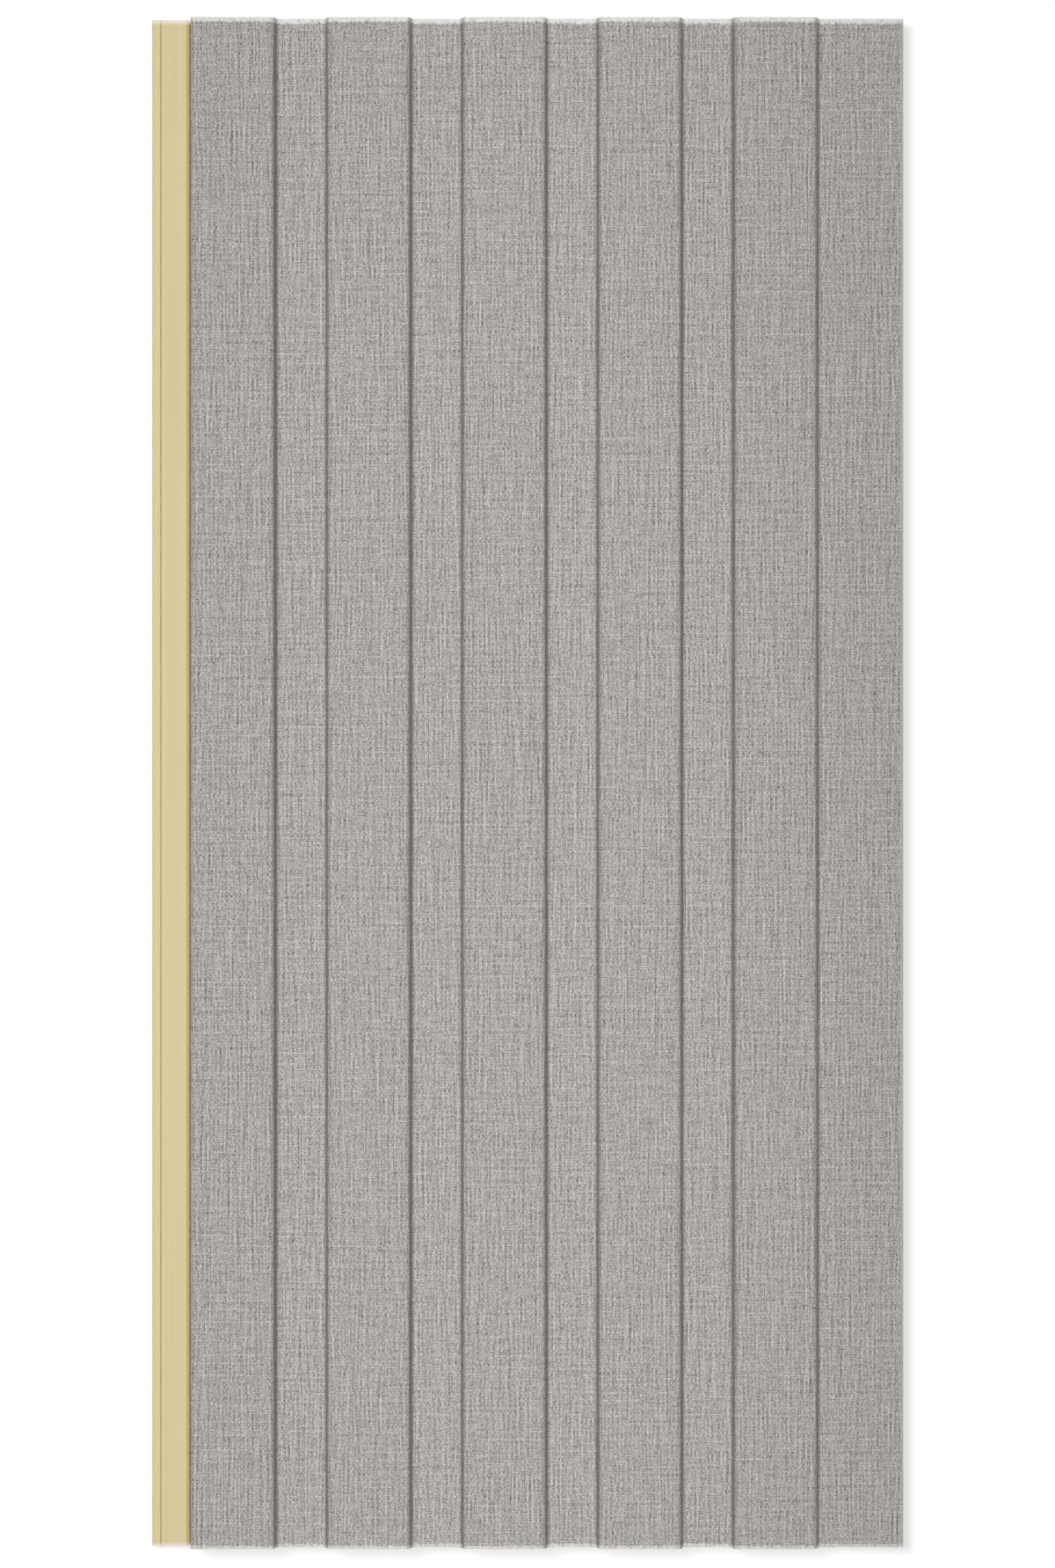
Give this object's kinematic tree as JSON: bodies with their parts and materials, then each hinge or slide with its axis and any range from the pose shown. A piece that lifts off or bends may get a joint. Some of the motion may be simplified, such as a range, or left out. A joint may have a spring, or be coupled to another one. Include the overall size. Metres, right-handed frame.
{
  "type": "composite wall panel",
  "caption": "Flat extruded wall-cladding panel with broad ribs, a linen-look film on its face, a bare tongue along one edge and a lap lip along the other.",
  "frame": {"origin": "middle of the panel's back, on the surface it lies on", "axes": "+X across the panel from the tongue to the lap lip, +Y along the sawn length and the ribs, +Z out of the decorated face"},
  "size_m": [0.15, 0.3048, 0.01],
  "materials": {
    "foamed_board": "satin cream foamed composite with faint extrusion lines",
    "linen_film": "matt grey film printed and embossed as linen"
  },
  "bodies": {
    "root": {"extruded_board": "foamed_board", "linen_film": "linen_film"}
  },
  "joints": []
}
